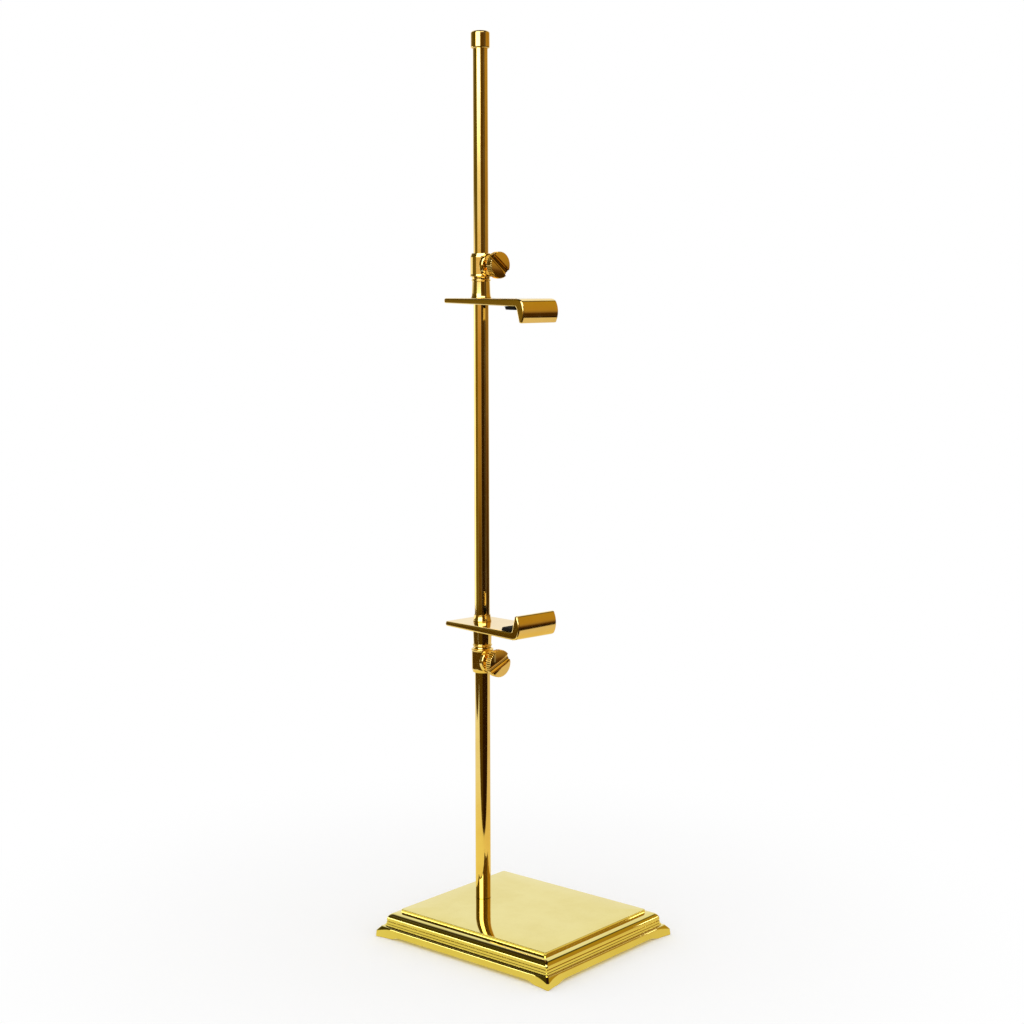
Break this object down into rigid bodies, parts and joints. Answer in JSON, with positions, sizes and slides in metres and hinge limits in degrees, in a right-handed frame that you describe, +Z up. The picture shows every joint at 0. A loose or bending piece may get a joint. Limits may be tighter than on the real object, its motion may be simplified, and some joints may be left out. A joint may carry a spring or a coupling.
{
  "type": "retort stand",
  "caption": "Brass display stand with a moulded rectangular base, an offset rod with a cap, and sliding, turning bracket clamps locked by knurled thumbscrews.",
  "frame": {"origin": "on the table plane, at the centre of the base footprint", "axes": "+Z up along the rod, -Y to the front where the bracket lips are, +X to the right"},
  "size_m": [0.16, 0.185, 0.75],
  "materials": {
    "base_brass": "cast, machined flat and polished to a mirror, pale yellow",
    "rod_brass": "drawn and polished",
    "bracket_brass": "cast or turned, polished, with softened edges",
    "screw_brass": "turned and straight knurled, polished",
    "foot_steel": "zinc plated",
    "pad_felt": "matt black felt",
    "liner_fibre": "brown vulcanised fibre"
  },
  "bodies": {
    "stand": {"base_casting": "base_brass", "rod": "rod_brass", "rod_cap": "rod_brass", "rod_foot_washer": "foot_steel", "rod_foot_nut": "foot_steel"},
    "upper_slider": {"upper_friction_liner": "liner_fibre"},
    "upper_bracket": {"upper_plate": "bracket_brass", "upper_grip_pad": "pad_felt", "upper_neck": "bracket_brass", "upper_collar": "bracket_brass", "upper_screw_boss": "bracket_brass"},
    "upper_shoe": {"upper_pressure_shoe": "screw_brass"},
    "upper_screw": {"upper_thumbscrew": "screw_brass"},
    "lower_slider": {"lower_friction_liner": "liner_fibre"},
    "lower_bracket": {"lower_plate": "bracket_brass", "lower_grip_pad": "pad_felt", "lower_neck": "bracket_brass", "lower_collar": "bracket_brass", "lower_screw_boss": "bracket_brass"},
    "lower_shoe": {"lower_pressure_shoe": "screw_brass"},
    "lower_screw": {"lower_thumbscrew": "screw_brass"}
  },
  "joints": [
    {"name": "upper_height", "type": "slide", "parent": "stand", "child": "upper_slider", "axis": [0, 0, 1], "range_m": [-0.115, 0.165]},
    {"name": "upper_swivel", "type": "hinge", "parent": "upper_slider", "child": "upper_bracket", "pos_m": [0, 0.0439, 0.5536], "axis": [0, 0, 1], "continuous": true},
    {"name": "upper_screw_travel", "type": "slide", "parent": "upper_bracket", "child": "upper_shoe", "axis": [-0.0732, -0.9973, 0], "range_m": [0, 0.0015]},
    {"name": "upper_screw_turn", "type": "hinge", "parent": "upper_shoe", "child": "upper_screw", "pos_m": [0, 0.0439, 0.5536], "axis": [-0.0732, -0.9973, 0], "range_deg": [0, 541]},
    {"name": "lower_height", "type": "slide", "parent": "stand", "child": "lower_slider", "axis": [0, 0, 1], "range_m": [-0.185, 0.115]},
    {"name": "lower_swivel", "type": "hinge", "parent": "lower_slider", "child": "lower_bracket", "pos_m": [0, 0.0439, 0.222], "axis": [0, 0, 1], "continuous": true},
    {"name": "lower_screw_travel", "type": "slide", "parent": "lower_bracket", "child": "lower_shoe", "axis": [-0.1461, -0.9893, 0], "range_m": [0, 0.0015]},
    {"name": "lower_screw_turn", "type": "hinge", "parent": "lower_shoe", "child": "lower_screw", "pos_m": [0, 0.0439, 0.222], "axis": [-0.1461, -0.9893, 0], "range_deg": [0, 541]}
  ],
  "couplings": [
    {"joint": "upper_screw_turn", "follows": "upper_screw_travel", "rad_per_m": 6283.2},
    {"joint": "lower_screw_turn", "follows": "lower_screw_travel", "rad_per_m": 6283.2}
  ]
}
